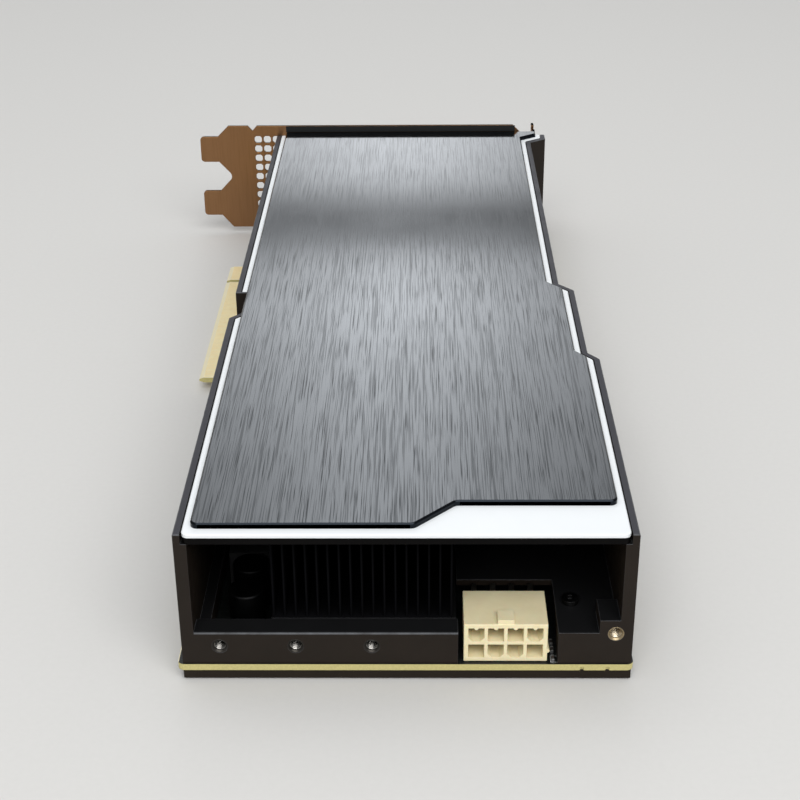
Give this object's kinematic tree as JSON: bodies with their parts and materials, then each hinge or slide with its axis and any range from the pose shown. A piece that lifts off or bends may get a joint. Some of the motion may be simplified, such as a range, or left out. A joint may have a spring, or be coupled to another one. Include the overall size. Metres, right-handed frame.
{
  "type": "passive accelerator card",
  "caption": "Passively cooled dual-slot accelerator card: edge-tab board under an open-ended air duct with white-trimmed brushed top, tail power header and vented bracket.",
  "frame": {"origin": "middle of the backplate's outer face: half the board's width, and half way from the tail edge to the bracket's face", "axes": "+Z out of the component side, up to the brushed top plate; +Y from the tail with the power header to the bracket; +X from the edge-tab side to the link-contact side"},
  "size_m": [0.1249, 0.2784, 0.0405],
  "materials": {
    "board": "epoxy glass laminate, semi-gloss; pale cut edge, dark mask on both faces",
    "gold_contacts": "hard gold plating, smooth",
    "black_casting": "black satin powder coat over die-cast aluminium",
    "white_trim": "white satin coat",
    "charcoal_plate": "brushed lengthways, charcoal anodised, satin",
    "black_plate": "black anodised, matt",
    "heatsink_metal": "milled aluminium, satin",
    "black_fins": "thin rolled aluminium, black anodised, satin",
    "screw_steel": "black zinc plated steel",
    "bright_steel": "nickel plated steel, satin",
    "insert_brass": "turned brass",
    "insulator": "thin black film",
    "carrier": "green laminate",
    "silicon": "polished silicon, dark",
    "chip_black": "moulded epoxy",
    "thermal_grey": "soft grey thermal sheet",
    "pad_grey": "soft thermal pad",
    "choke_grey": "pressed powder core",
    "can_metal": "drawn can with a dark sleeve, satin",
    "ceramic_tan": "fired ceramic, matt",
    "header_ivory": "natural nylon, satin",
    "pin_tin": "tin plated brass"
  },
  "bodies": {
    "root": {"circuit_board": "board", "edge_contacts": "gold_contacts", "link_contacts": "gold_contacts", "duct_frame": "black_casting", "sill_inserts": "bright_steel", "boss_insert": "insert_brass", "duct_cover": "black_casting", "trim_plate": "white_trim", "top_plate": "charcoal_plate", "backplate": "black_plate", "backplate_screws": "screw_steel", "tray_screws": "screw_steel", "insulator_film": "insulator", "heatsink_base": "heatsink_metal", "fin_stack": "black_fins", "heatsink_screws": "bright_steel", "heatsink_springs": "bright_steel", "package_substrate": "carrier", "processor_die": "silicon", "memory_stacks": "chip_black", "stiffener_ring": "bright_steel", "thermal_sheet": "thermal_grey", "chokes": "choke_grey", "choke_pads": "pad_grey", "power_stages": "chip_black", "storage_cans": "can_metal", "input_choke": "choke_grey", "controller_chips": "chip_black", "ceramic_capacitors": "ceramic_tan", "power_header": "header_ivory", "header_pins": "pin_tin", "io_bracket": "bright_steel", "bracket_screws": "screw_steel"}
  },
  "joints": []
}
